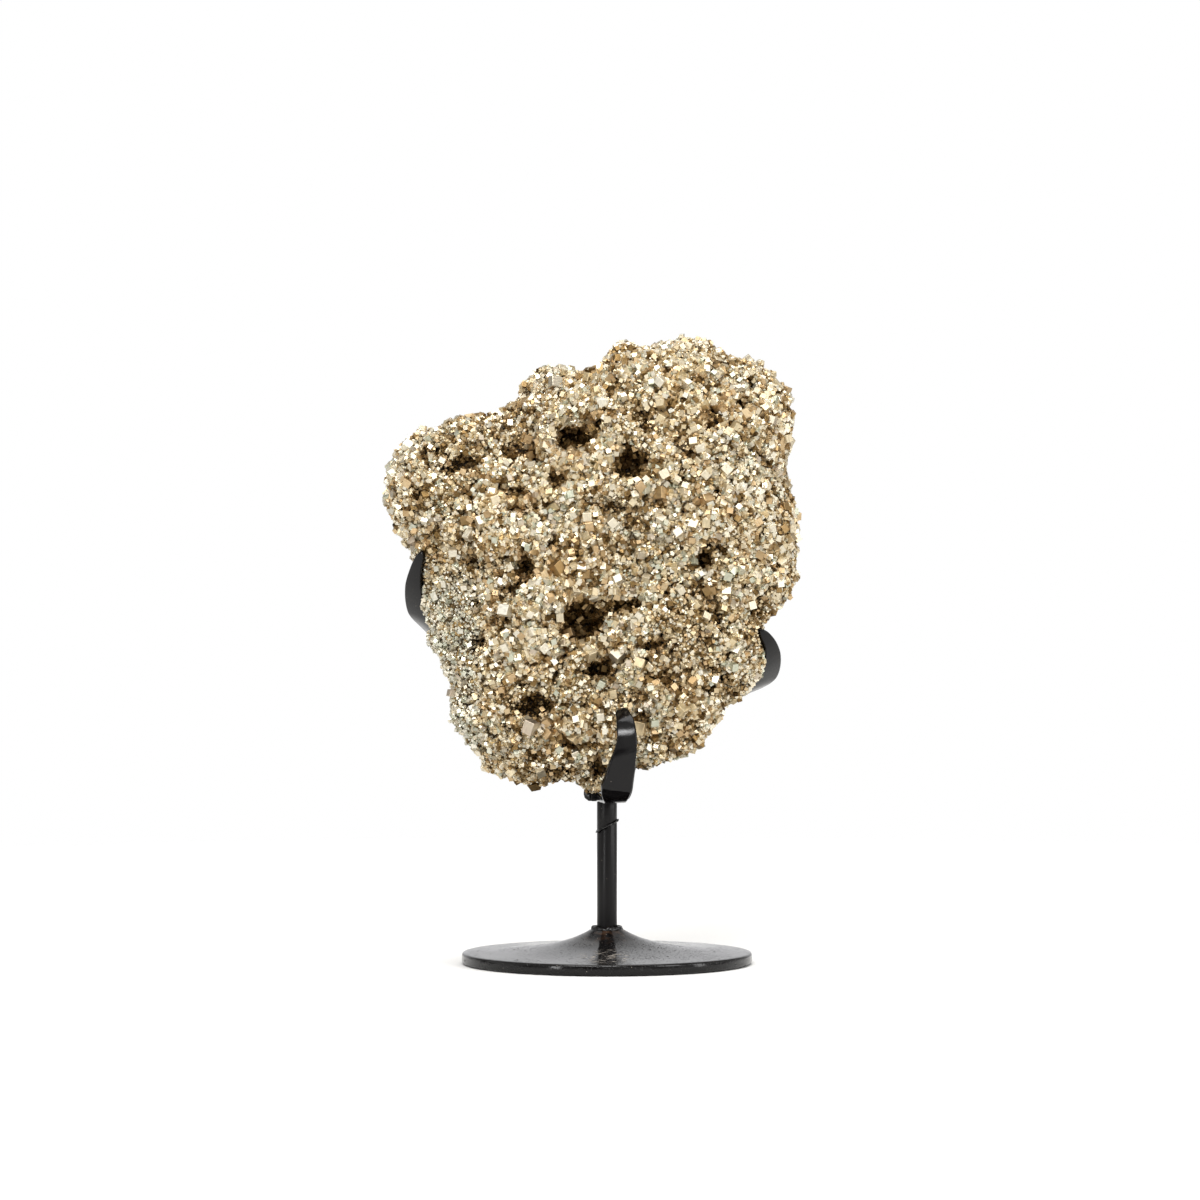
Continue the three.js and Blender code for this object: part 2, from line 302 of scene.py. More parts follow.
def scuffs(tree, spot):
    """Scuffs that run across in front of the boss, inside a patch about 28 by 34 mm."""
    patch_spot = node(
        tree,
        "ShaderNodeMapping",
        {"vector_type": "TEXTURE"},
        Vector=spot,
        Location=(0, -38 * MM, 0),
        Scale=(14 * MM, 17 * MM, 1),
    )
    patch_far = node(tree, "ShaderNodeVectorMath", {"operation": "LENGTH"}, in0=patch_spot.outputs[0])
    patch = node(
        tree, "ShaderNodeMapRange", None, Value=patch_far.outputs["Value"], From_Min=1.0, From_Max=0.5
    )
    stroke_spot = node(tree, "ShaderNodeMapping", None, Vector=spot, Scale=(0.45, 1.0, 0))
    stroke = node(
        tree,
        "ShaderNodeTexNoise",
        None,
        Vector=stroke_spot.outputs[0],
        Scale=1 / (1.8 * MM),
        Detail=3.0,
    )
    scratched = node(
        tree, "ShaderNodeMapRange", None, Value=stroke.outputs["Fac"], From_Min=0.56, From_Max=0.64
    )
    both = node(
        tree,
        "ShaderNodeMath",
        {"operation": "MULTIPLY"},
        in0=patch.outputs[0],
        in1=scratched.outputs[0],
    )
    return both.outputs[0]


def worn_skin(tree, spot, tone, dull, height):
    """Adds the pits and the scuffs to a tone, a roughness and a height, and gives back all three."""
    scuff = scuffs(tree, spot)
    scuffed = node(
        tree, "ShaderNodeMix", {"data_type": "RGBA"}, in0=scuff, in6=tone, in7=srgb("#9C948A")
    )
    hurt = node(
        tree, "ShaderNodeMath", {"operation": "MAXIMUM"}, in0=pits(tree, spot), in1=scuff
    ).outputs[0]
    duller = node(
        tree, "ShaderNodeMath", {"operation": "MULTIPLY_ADD"}, in0=hurt, in1=0.4, in2=dull
    )
    lower = node(
        tree, "ShaderNodeMath", {"operation": "MULTIPLY_ADD"}, in0=hurt, in1=-2.5, in2=height
    )
    return scuffed.outputs[2], duller.outputs[0], lower.outputs[0]


def enamel(
    name, black, roughness, peel_mm, peel_depth_mm, streaks=1.0, gloss=1.3, rust_reach=0.0, worn=False
):
    """Black stoving enamel over iron: an orange-peel skin with rough patches and flecks of dust.
    Rust reach is how far out from the stem rust has come through. Worn adds pits, and scuffs in
    front of the boss."""
    made = bpy.data.materials.new(name)
    made.use_nodes = True
    tree = made.node_tree
    tree.nodes.clear()
    spot = node(tree, "ShaderNodeTexCoord").outputs["Object"]
    drawn = node(tree, "ShaderNodeMapping", None, Vector=spot, Scale=(1, 1, streaks)).outputs[0]
    cloud = node(
        tree,
        "ShaderNodeTexNoise",
        None,
        Vector=drawn,
        Scale=1 / (9 * MM),
        Detail=5.0,
        Roughness=0.6,
    )
    tone = node(
        tree,
        "ShaderNodeMix",
        {"data_type": "RGBA"},
        in0=cloud.outputs["Fac"],
        in6=srgb(black),
        in7=srgb("#0C0A0A"),
    ).outputs[2]
    if rust_reach:
        tone = rusted(tree, spot, tone, rust_reach)
    fleck = flecks(tree, spot)
    tone = node(
        tree, "ShaderNodeMix", {"data_type": "RGBA"}, in0=fleck, in6=tone, in7=srgb("#8C8378")
    ).outputs[2]
    dull = node(
        tree,
        "ShaderNodeMapRange",
        None,
        Value=cloud.outputs["Fac"],
        From_Min=0.3,
        From_Max=0.75,
        To_Min=roughness * 0.8,
        To_Max=roughness * 1.35,
    ).outputs[0]
    skin = node(
        tree, "ShaderNodeTexNoise", None, Vector=drawn, Scale=1 / (peel_mm * MM), Detail=3.0
    )
    height = node(
        tree,
        "ShaderNodeMath",
        {"operation": "MULTIPLY_ADD"},
        in0=fleck,
        in1=-0.5,
        in2=skin.outputs["Fac"],
    ).outputs[0]
    if worn:
        tone, dull, height = worn_skin(tree, spot, tone, dull, height)
    relief = node(tree, "ShaderNodeBump", None, Height=height, Distance=peel_depth_mm * MM, Strength=1.0)
    paint = node(
        tree,
        "ShaderNodeBsdfPrincipled",
        None,
        Base_Color=tone,
        Roughness=dull,
        Normal=relief.outputs[0],
        IOR=gloss,
    )
    node(tree, "ShaderNodeOutputMaterial", None, Surface=paint.outputs[0])
    return made


# Stoving enamel that pooled on a level casting: nearly a mirror, with faint ripples and pits.
disc_enamel = enamel(
    "glossy stoving enamel", "#050404", 0.10, 0.9, 0.03, gloss=1.35, rust_reach=18 * MM, worn=True
)

# The disc's top from its rim to its boss: radius and height.
TOP_KNOTS = [
    (DISC_RADIUS - RIM_BEVEL, DISC_EDGE),
    (40 * MM, 5.2 * MM),
    (25 * MM, 7.0 * MM),
    (15.5 * MM, 9.3 * MM),
    (10 * MM, 11.5 * MM),
    (BOSS_RADIUS, BOSS_TOP),
]


def top_curve(count):
    """Points down the disc's top, from the rim to the boss, on one smooth curve."""
    knots = [Vector((r, 0, z)) for r, z in TOP_KNOTS]
    points = []
    for i in range(len(knots) - 1):
        before = knots[max(i - 1, 0)]
        after = knots[min(i + 2, len(knots) - 1)]
        start, end = knots[i], knots[i + 1]
        for step in range(count):
            share = step / count
            pull = (end - before) * 0.5, (after - start) * 0.5
            points.append(
                start * (2 * share**3 - 3 * share**2 + 1)
                + pull[0] * (share**3 - 2 * share**2 + share)
                + end * (-2 * share**3 + 3 * share**2)
                + pull[1] * (share**3 - share**2)
            )
    return points + [knots[-1]]


disc = bmesh.new()
outline = [
    Vector((0, 0, 0)),
    Vector((DISC_RADIUS - 1.0 * MM, 0, 0)),
    Vector((DISC_RADIUS - 0.55 * MM, 0, 0.1 * MM)),
    Vector((DISC_RADIUS - 0.15 * MM, 0, 0.4 * MM)),
    Vector((DISC_RADIUS, 0, 1.0 * MM)),
    Vector((DISC_RADIUS, 0, 2.0 * MM)),
    Vector((DISC_RADIUS, 0, DISC_EDGE - 0.9 * MM)),
    Vector((DISC_RADIUS - 0.12 * MM, 0, DISC_EDGE - 0.4 * MM)),
    Vector((DISC_RADIUS - 0.35 * MM, 0, DISC_EDGE - 0.12 * MM)),
    *top_curve(8),
    Vector((SOCKET_RADIUS + 0.3 * MM, 0, BOSS_TOP)),
    Vector((SOCKET_RADIUS, 0, BOSS_TOP - 0.3 * MM)),
    Vector((SOCKET_RADIUS, 0, SOCKET_FLOOR)),
    Vector((0, 0, SOCKET_FLOOR)),
]
corners = [disc.verts.new(p) for p in outline]
rim = [disc.edges.new(pair) for pair in zip(corners, corners[1:])]
bmesh.ops.spin(
    disc,
    geom=corners + rim,
    axis=(0, 0, 1),
    cent=(0, 0, 0),
    angle=2 * math.pi,
    steps=160,
    use_merge=True,
)
bmesh.ops.remove_doubles(disc, verts=disc.verts, dist=0.001 * MM)
base = finish_piece(disc, "base_casting", disc_enamel)
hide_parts("base_disc")

# ---------------------------------------------------------------------------------------------
# Stem. Two lengths of 8 mm round bar, cut on a slant and welded end to end. The lower one stands
# in the boss. The upper one came with the claw and is rougher, from the hammer and the torch.
# ---------------------------------------------------------------------------------------------

STEM_RADIUS = 4 * MM
JOIN_SLOPE = math.tan(math.radians(28))
JOIN_HEIGHT = 54.6 * MM
stem_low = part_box("stem_rod")[0]
stub_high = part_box("stem_stub")[1]


def round_bar(bottom, top, slanted_end):
    """Round bar with eased ends; either end can be cut on the join's slant."""
    bar = bmesh.new()
    bmesh.ops.create_cone(
        bar,
        cap_ends=True,
        segments=72,
        radius1=STEM_RADIUS,
        radius2=STEM_RADIUS,
        depth=top - bottom,
        matrix=Matrix.Translation((0, 0, (top + bottom) / 2)),
    )
    ends = [e for e in bar.edges if len({round(v.co.z, 6) for v in e.verts}) == 1]
    bmesh.ops.bevel(
        bar, geom=ends, offset=0.25 * MM, segments=2, profile=0.5, affect="EDGES", material=-1
    )
    middle = (top + bottom) / 2
    for v in bar.verts:
        if (v.co.z > middle) == (slanted_end == "top"):
            v.co.z += JOIN_SLOPE * v.co.x
    return bar


# Enamel sprayed thin on drawn bar: satin, with the drawing lines of the bar showing faintly.
bar_enamel = enamel("satin enamel on drawn bar", "#060505", 0.33, 0.9, 0.02, streaks=0.12)
# The same enamel on metal that was hammered and torch-heated: uneven and lumpier.
rough_enamel = enamel("enamel on hammered bar", "#060505", 0.36, 1.3, 0.10)

rod = round_bar(stem_low.z, JOIN_HEIGHT - 0.1 * MM, "top")
rod_piece = finish_piece(rod, "stem_lower_bar", bar_enamel)
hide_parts("stem_rod")
stub = round_bar(JOIN_HEIGHT + 0.1 * MM, stub_high.z, "bottom")
stub_piece = finish_piece(stub, "stem_upper_bar", rough_enamel)
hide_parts("stem_stub")

# ---------------------------------------------------------------------------------------------
# Weld beads. Arc weld left as it froze: a lumpy ring where the stem leaves the boss, and a thin
# slanting bead where the two bars join, both painted over with the rest.
# ---------------------------------------------------------------------------------------------


def weld_bead(height, bead_radius, ring_radius, slope, lump, seed):
    """A ring of frozen weld metal round the stem, with drops and hollows along it."""
    bead = bmesh.new()
    bmesh.ops.create_circle(
        bead,
        segments=14,
        radius=bead_radius,
        matrix=Matrix.Translation((ring_radius, 0, 0)) @ Matrix.Rotation(math.pi / 2, 4, "X"),
    )
    bmesh.ops.spin(
        bead,
        geom=bead.verts[:] + bead.edges[:],
        axis=(0, 0, 1),
        cent=(0, 0, 0),
        angle=2 * math.pi,
        steps=120,
        use_merge=True,
    )
    bmesh.ops.remove_doubles(bead, verts=bead.verts, dist=0.001 * MM)
    for v in bead.verts:
        around = v.co.xy.normalized()
        core = Vector((around.x, around.y, 0)) * ring_radius
        swell = noise.noise(Vector((around.x, around.y, seed)) * 2.4)
        drops = noise.noise(v.co / (1.1 * MM) + Vector((seed, 0, 0)))
        v.co = core + (v.co - core) * (1 + lump * (swell + 0.8 * drops))
        v.co.z += height + slope * v.co.x
    return bead


# Enamel over weld metal: the same black, but it shines on every drop.
weld_enamel = enamel("enamel on weld metal", "#080606", 0.20, 0.7, 0.06, gloss=1.4)

boss_bead = weld_bead(BOSS_TOP + 0.15 * MM, 1.25 * MM, 4.9 * MM, 0, 0.55, 3.1)
boss_piece = finish_piece(boss_bead, "boss_weld_ring", weld_enamel)
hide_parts("base_weld")
join_bead = weld_bead(JOIN_HEIGHT, 0.55 * MM, 4.15 * MM, JOIN_SLOPE, 0.6, 8.4)
join_piece = finish_piece(join_bead, "slanting_weld_bead", weld_enamel)
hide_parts("stem_weld")

# ---------------------------------------------------------------------------------------------
# Claw. A three-sided hub and three prongs of flat bar, drawn out to rounded tips under the hammer
# and bent cold round the stone, one in front of its foot and one round each flank.
# ---------------------------------------------------------------------------------------------

HUB_REACH = 4.6 * MM
ROOT_THICKNESS = 3.6 * MM
TIP_THICKNESS = 2.2 * MM
STONE_MIDDLE = Vector((-3, 0, 161)) * MM
hub_low, hub_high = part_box("prong_hub")
ROOT_HEIGHT = (hub_low.z + hub_high.z) / 2
FRONT_HEADING = math.radians(-80)

hub = bmesh.new()
bmesh.ops.create_cone(
    hub,
    cap_ends=True,
    segments=3,
    radius1=HUB_REACH * 2 - 0.6 * MM,
    radius2=HUB_REACH * 2 - 0.6 * MM,
    depth=ROOT_THICKNESS,
    matrix=Matrix.Translation((0, 0, ROOT_HEIGHT))
    @ Matrix.Rotation(FRONT_HEADING + math.pi / 3 - math.pi / 2, 4, "Z"),
)
bmesh.ops.bevel(
    hub, geom=hub.edges[:], offset=0.5 * MM, segments=2, profile=0.5, affect="EDGES", material=-1
)
hub_piece = finish_piece(hub, "claw_hub", rough_enamel, smooth=False)
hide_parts("prong_hub")


def root_points(heading):
    """The root of a prong lies flat and points straight away from its side of the hub."""
    return [
        Vector((r * math.cos(heading), r * math.sin(heading), ROOT_HEIGHT))
        for r in (HUB_REACH + 0.05 * MM, HUB_REACH + 1.35 * MM)
    ]


def between_knots(group, t, now):
    """The point that a smooth curve reaches now, between the middle two of four timed knots."""
    first, second, third = (
        group[i].lerp(group[i + 1], (now - t[i]) / (t[i + 1] - t[i])) for i in range(3)
    )
    early = first.lerp(second, (now - t[0]) / (t[2] - t[0]))
    late = second.lerp(third, (now - t[1]) / (t[3] - t[1]))
    return early.lerp(late, (now - t[1]) / (t[2] - t[1]))


def smooth_line(knots, count):
    """Evenly spaced points on one smooth curve through the knots, and its direction at each."""
    ends = [knots[0] * 2 - knots[1], *knots, knots[-1] * 2 - knots[-2]]
    dense = []
    for group in zip(ends, ends[1:], ends[2:], ends[3:]):
        # Knots that are close together get a short time between them, so that the curve can't loop.
        t = np.cumsum([0.0] + [math.sqrt((q - p).length) for p, q in zip(group, group[1:])])
        for now in np.linspace(t[1], t[2], 60, endpoint=False):
            dense.append(between_knots(group, t, now))
    dense.append(knots[-1])
    lengths = np.cumsum([0] + [(q - p).length for p, q in zip(dense, dense[1:])])
    at = np.interp(np.linspace(0, lengths[-1], count), lengths, range(len(dense)))
    line = [dense[int(i)].lerp(dense[min(int(i) + 1, len(dense) - 1)], i - int(i)) for i in at]
    ways = [
        (line[min(i + 1, count - 1)] - line[max(i - 1, 0)]).normalized() for i in range(count)
    ]
    return line, ways


def ease(value, low, high):
    """0 below low, 1 above high, and a smooth step between them."""
    share = min(1.0, max(0.0, (value - low) / (high - low)))
    return share * share * (3 - 2 * share)


def inner_side(share, centre, along, root, grip, twist):
    """Which way the inner side faces: up on the flat root, then along with the bar as it bends up,
    then to the stone's middle, and at the tip the way of its grip. Twist turns it as it climbs."""
    inward = -root * along.z + Vector((0, 0, 1)) * along.dot(root)
    inward = inward.lerp((STONE_MIDDLE - centre).normalized(), ease(share, 0.1, 0.4))
    inward = inward.lerp(grip, ease(share, 0.45, 0.85))
    inward = (inward - along * inward.dot(along)).normalized()
    climbing = ease(share, 0.01, 0.05) * (1 - ease(share, 0.07, 0.25))
    return Matrix.Rotation(math.radians(twist) * climbing, 3, along) @ inward


def bent_prong(knots, grip, widths, name, cad_node, twist=0, steps=150):
    """Flat bar bent along a curve and drawn out to a rounded tip. Its widths, in millimetres, are
    evenly spaced from the root to the tip."""
    bar = bmesh.new()
    bmesh.ops.create_cube(bar, size=1)
    lengthwise = [e for e in bar.edges if abs(e.verts[0].co.z - e.verts[1].co.z) > 0.5]
    bmesh.ops.bevel(
        bar, geom=lengthwise, offset=0.25, segments=4, profile=0.5, affect="EDGES", material=-1
    )
    for cut in range(1, steps):
        bmesh.ops.bisect_plane(
            bar,
            geom=bar.verts[:] + bar.edges[:] + bar.faces[:],
            plane_co=(0, 0, cut / steps - 0.5),
            plane_no=(0, 0, 1),
        )
    line, ways = smooth_line(knots, steps + 1)
    stations = np.linspace(0, 1, len(widths))
    for v in bar.verts:
        share = v.co.z + 0.5
        step = min(steps, max(0, round(share * steps)))
        inward = inner_side(share, line[step], ways[step], ways[0], grip, twist)
        across = ways[step].cross(inward)
        round_off = math.sqrt(max(0.02, 1 - max(0.0, (share - 0.965) / 0.035) ** 2))
        hammered = 1 + 0.03 * noise.noise(Vector((share * 9, 0, len(name))))
        width = float(np.interp(share, stations, widths)) * MM * round_off * hammered
        thickness = (ROOT_THICKNESS + (TIP_THICKNESS - ROOT_THICKNESS) * share) * (0.35 + 0.65 * round_off)
        # The corners are rounded on a unit bar, so across the width they're drawn in to the edge.
        side = v.co.x
        if abs(side) > 0.24:
            side = math.copysign(0.5 - (0.5 - abs(side)) * thickness / width, side)
        v.co = line[step] + across * (side * width) - inward * (v.co.y * thickness)
    piece = finish_piece(bar, name, prong_enamel)
    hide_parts(cad_node)
    return piece


# Satin enamel on forged flat bar: soft highlights along the bends and small hammer flats.
prong_enamel = enamel("satin enamel on forged bar", "#040304", 0.11, 2.2, 0.04, gloss=1.32)


def placed(*rows):
    """Points given in millimetres, as the metres that the scene is built in."""
    return [Vector(row) * MM for row in rows]


SIDE_WIDTHS = [11, 12, 12.5, 13, 12.6, 11.4, 9.8, 7.4, 3]
front_prong = bent_prong(
    root_points(FRONT_HEADING)
    + placed(
        (2.4, -20, 66.6),
        (3.2, -31, 67.3),
        (3.6, -36.5, 71.5),
        (5.4, -38.5, 79),
        (7.6, -39, 89),
        (7.2, -36, 96.5),
        (5.4, -29.8, 102.2),
    ),
    Vector((0, 1, 0)),
    [11, 10.2, 9.4, 9.4, 12.6, 10.4, 8.2, 7.2, 4.6],
    "front_prong",
    "prong_front",
)
left_prong = bent_prong(
    root_points(FRONT_HEADING - 2 * math.pi / 3)
    + placed(
        (-6.9, 2.5, 68.8),
        (-7.9, 3.1, 72),
        (-9.6, 6, 77),
        (-14.5, 11.5, 85),
        (-27, 19, 96),
        (-42, 24, 107),
        (-57, 26, 119),
        (-69, 19, 131),
        (-75.4, 6, 140),
        (-76.8, -5, 149),
        (-75.4, -13.5, 157.5),
        (-72.9, -19.5, 164.2),
    ),
    Vector((0.3, 0.95, 0)),
    SIDE_WIDTHS,
    "left_prong",
    "prong_left",
    twist=34,
)
right_prong = bent_prong(
    root_points(FRONT_HEADING + 2 * math.pi / 3)
    + placed(
        (5.6, 4.7, 68.8),
        (6, 5.6, 72),
        (6.6, 8.6, 77),
        (9.5, 14, 85),
        (19, 20, 93),
        (32, 24, 99),
        (46, 24.5, 104),
        (57, 18, 108.5),
        (63.6, 8, 114.2),
        (65.6, -1.5, 120.5),
        (64.6, -9.5, 127.3),
        (60.6, -15.5, 133.4),
    ),
    Vector((-0.3, 0.95, 0)),
    SIDE_WIDTHS,
    "right_prong",
    "prong_right",
)

# ---------------------------------------------------------------------------------------------
# The stone's mass. Fine-grained pyrite that the crystals grew from, in clumps with deep hollows
# between them. Little light gets in there, and the mass is painted darker the deeper it lies: painted
# shade.
# ---------------------------------------------------------------------------------------------

# Hollows in the front face, in millimetres: middle x and z, half width, half height, tilt, depth.
HOLLOWS = [
    (-14, 209, 6.5, 4.5, 10, 11),
    (9.2, 199, 5.6, 5.4, 0, 12),
    (-3.6, 213.8, 3, 2.4, 0, 6),
    (-19.6, 191.8, 2.8, 3.4, 0, 9),
    (-36, 187.5, 7, 2.6, -10, 8),
    (41.2, 220.2, 2.8, 2.8, 0, 8),
    (36, 227, 2.2, 2.0, 0, 5),
    (54, 213.8, 2.4, 2.4, 0, 6),
    (62.4, 200.2, 2.2, 4.4, 30, 6),
    (-32, 157.8, 3.4, 5.6, -20, 10),
    (-38.8, 149.8, 4.6, 2.2, 10, 7),
    (-10.8, 137, 7.6, 7.0, 20, 13),
    (5.2, 143, 8.0, 3.2, 5, 9),
    (38.4, 160.2, 3.0, 3.2, 0, 10),
    (37.2, 148.2, 3.4, 1.9, 0, 6),
    (17.2, 127, 6.4, 2.6, 5, 8),
    (-4, 117.8, 5.6, 3.2, 0, 9),
    (-28.8, 103, 7.4, 3.2, 10, 8),
    (-23.6, 134.2, 2.4, 2.4, 0, 6),
    (-3.6, 79, 3.4, 6.0, 0, 7),
    (-73.2, 202.6, 2.8, 2.8, 0, 6),
    (-58, 199, 7.0, 4.0, 15, 6),
]


def hollow_depth(x, z):
    """How deep the named hollows cut the front face at a place, in millimetres."""
    deepest = 0.0
    for middle_x, middle_z, half_width, half_height, tilt, depth in HOLLOWS:
        turn = math.radians(tilt)
        dx, dz = x - middle_x, z - middle_z
        along = (dx * math.cos(turn) + dz * math.sin(turn)) / half_width
        over = (dz * math.cos(turn) - dx * math.sin(turn)) / half_height
        reach = along * along + over * over + 1.3 * noise.noise(Vector((x, 0, z)) / 3.2)
        if reach < 2.0:
            deepest = max(deepest, depth * min(1.0, 1 - reach / 2.0) ** 0.8)
    return deepest


def clump(p, size):
    """Rounded clumps that meet in creases: 1 on top of a clump, 0 in the crease between two."""
    distances = noise.voronoi(p / size, distance_metric="DISTANCE")[0]
    return min(1.0, (distances[1] - distances[0]) * 1.5)


shape = bmesh.new()
shape.from_mesh(nodes["pyrite_cluster"].data)
bmesh.ops.remove_doubles(shape, verts=shape.verts, dist=0.01 * MM)
solid = bpy.data.meshes.new("stone_solid")
shape.to_mesh(solid)
shape.free()
stand_in = bpy.data.objects.new("stone_solid", solid)
bpy.context.scene.collection.objects.link(stand_in)
grid = stand_in.modifiers.new("grid", "REMESH")
grid.mode = "VOXEL"
grid.voxel_size = 1.5 * MM
fine = bpy.data.meshes.new_from_object(stand_in.evaluated_get(bpy.context.evaluated_depsgraph_get()))
bpy.data.objects.remove(stand_in)

claw_points, claw_faces = [], []
for claw_piece in (front_prong, left_prong, right_prong, hub_piece):
    start = len(claw_points)
    claw_points += [v.co.copy() for v in claw_piece.data.vertices]
    claw_faces += [[i + start for i in face.vertices] for face in claw_piece.data.polygons]
claw_surface = BVHTree.FromPolygons(claw_points, claw_faces)

# Without a seed of its own, vector noise starts from the clock and the stone differs at every run.
noise.seed_set(7)
mass = bmesh.new()
mass.from_mesh(fine)
mass.normal_update()
for _ in range(2):
    bmesh.ops.smooth_vert(
        mass, verts=mass.verts, factor=0.5, use_axis_x=True, use_axis_y=True, use_axis_z=True
    )
mass.normal_update()
depth_layer = mass.verts.layers.float.new("depth")
moves = []
for v in mass.verts:
    p = v.co / MM
    warp = noise.noise_vector(p / 9) * 2.5
    big = clump(p + warp, 15)
    small = clump(p + warp * 0.5 + Vector((40, 0, 0)), 6.5)
    rough = noise.noise(p / 2.2)
    pit = max(0.0, noise.noise(p / 11 + Vector((0, 50, 0))) - 0.3) * 10
    pit += max(0.0, noise.noise(p / 4.6 + Vector((0, 90, 0))) - 0.22) * 12
    dig = 1.3 - 0.8 * big - 1.0 * small + 1.5 * (1 - big) ** 3 + 1.9 * (1 - small) ** 3 + pit - 0.5 * rough
    named = hollow_depth(p.x + warp.x * 0.8, p.z + warp.z * 0.8) if v.normal.y < -0.2 else 0.0
    if named > 0:
        dig = max(dig, 0) * 0.4 + named
    v[depth_layer] = dig
    move = v.normal * (-dig - 0.5)
    if named > 0:
        move = Vector((0, 1, 0)) * (named * 0.7) - v.normal * (dig * 0.3 + 0.5)
    near = claw_surface.find_nearest(v.co, 2.5 * MM)
    if near[0] is not None:
        # Where a prong presses, the stone comes up to about half a millimetre from it.
        # This depth of 3 also paints the mass and the crystals seeded on it darker under the prongs:
        # painted shade.
        v[depth_layer] = 3.0
        facing_prong = max(0.0, v.normal.dot((near[0] - v.co).normalized()))
        move = v.normal * (0.7 * (near[3] / MM - 0.6) * facing_prong)
    moves.append((v, move * MM))
for v, move in moves:
    v.co += move

# Massive fine-grained pyrite: dull gold and brown grains, painted near-black brown in the hollows as
# painted shade.
massive = bpy.data.materials.new("tarnished massive pyrite")
massive.use_nodes = True
tree = massive.node_tree
tree.nodes.clear()
spot = node(tree, "ShaderNodeTexCoord").outputs["Object"]
grains = node(tree, "ShaderNodeTexVoronoi", None, Vector=spot, Scale=1 / (0.9 * MM))
grain_tone = node(tree, "ShaderNodeSeparateColor", None, Color=grains.outputs["Color"])
gold = node(tree, "ShaderNodeValToRGB", None, Fac=grain_tone.outputs[0])
gold.color_ramp.elements[0].color = srgb("#4A3A22")
gold.color_ramp.elements[1].color = srgb("#D2B680")
gold.color_ramp.elements.new(0.55).color = srgb("#957A4C")
# Painted shade: the deeper a place lies in a hollow, the nearer its colour goes to near-black brown.
depth_read = node(tree, "ShaderNodeAttribute", {"attribute_name": "depth"})
shade = node(tree, "ShaderNodeMapRange", None, Value=depth_read.outputs["Fac"], From_Min=0.5, From_Max=5.0)
hollow_shaded = node(
    tree,
    "ShaderNodeMix",
    {"data_type": "RGBA"},
    in0=shade.outputs[0],
    in6=gold.outputs["Color"],
    in7=srgb("#1E1409"),
)
grain_relief = node(
    tree, "ShaderNodeBump", None, Height=grains.outputs["Distance"], Distance=0.5 * MM, Strength=1.0
)
grain_gloss = node(
    tree, "ShaderNodeMapRange", None, Value=grain_tone.outputs[1], To_Min=0.35, To_Max=0.75
)
ore = node(
    tree,
    "ShaderNodeBsdfPrincipled",
    None,
    Base_Color=hollow_shaded.outputs[2],
    Metallic=0.7,
    Roughness=grain_gloss.outputs[0],
    Normal=grain_relief.outputs[0],
)
node(tree, "ShaderNodeOutputMaterial", None, Surface=ore.outputs[0])
matrix_piece = finish_piece(mass, "pyrite_mass", massive)
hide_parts("pyrite_cluster")

# ---------------------------------------------------------------------------------------------
# Crystals. Thousands of pyrite cubes grown at every angle over the mass: sugar-fine ones
# everywhere, larger ones in between, and a few fine big cubes that sit proud.
# ---------------------------------------------------------------------------------------------

# Pyrite cubes as grown: mirror-bright brassy metal, each face ruled with fine growth lines. They
# are drawn about five to a face, because real ones are too fine to show. A cube's tint comes from
# its place across the map, and its clouding from its place up the map.
crystal = bpy.data.materials.new("striated pyrite cube faces")
crystal.use_nodes = True
tree = crystal.node_tree
tree.nodes.clear()
chart = node(tree, "ShaderNodeUVMap", {"uv_map": "OFBake"})
axes = node(tree, "ShaderNodeSeparateXYZ", None, Vector=chart.outputs["UV"])
tints = node(tree, "ShaderNodeValToRGB", None, Fac=axes.outputs["X"])
TINTS = [
    (0.00, "#2A1E10"),
    (0.10, "#564225"),
    (0.20, "#8C724A"),
    (0.32, "#C2A780"),
    (0.45, "#D3C29E"),
    (0.60, "#DDD2BA"),
    (0.74, "#E4DFD0"),
    (0.86, "#BCBEAA"),
    (1.00, "#C2B19E"),
]
tints.color_ramp.elements[0].color = srgb(TINTS[0][1])
tints.color_ramp.elements[1].color = srgb(TINTS[-1][1])
for place, code in TINTS[1:-1]:
    tints.color_ramp.elements.new(place).color = srgb(code)
cloud = node(tree, "ShaderNodeTexNoise", None, Vector=chart.outputs["UV"], Scale=90.0, Detail=3.0)
level = node(
    tree,
    "ShaderNodeMapRange",
    None,
    Value=cloud.outputs["Fac"],
    From_Min=0.3,
    From_Max=0.7,
    To_Min=0.78,
    To_Max=1.05,
)
tarnished = node(
    tree,
    "ShaderNodeMix",
    {"data_type": "RGBA", "blend_type": "MULTIPLY"},
    in0=1.0,
    in6=tints.outputs["Color"],
    in7=level.outputs[0],
)
rules = node(
    tree,
    "ShaderNodeTexWave",
    {"bands_direction": "Y"},
    Vector=chart.outputs["UV"],
    Scale=26.0,
    Distortion=0.4,
    Detail=2.0,
)
lines = node(tree, "ShaderNodeBump", None, Height=rules.outputs["Fac"], Distance=0.02 * MM, Strength=0.5)
gloss = node(
    tree,
    "ShaderNodeMapRange",
    None,
    Value=cloud.outputs["Fac"],
    From_Min=0.3,
    From_Max=0.7,
    To_Min=0.34,
    To_Max=0.56,
)
brass = node(
    tree,
    "ShaderNodeBsdfPrincipled",
    None,
    Base_Color=tarnished.outputs[2],
    Metallic=1.0,
    Roughness=gloss.outputs[0],
    Normal=lines.outputs[0],
)
node(tree, "ShaderNodeOutputMaterial", None, Surface=brass.outputs[0])

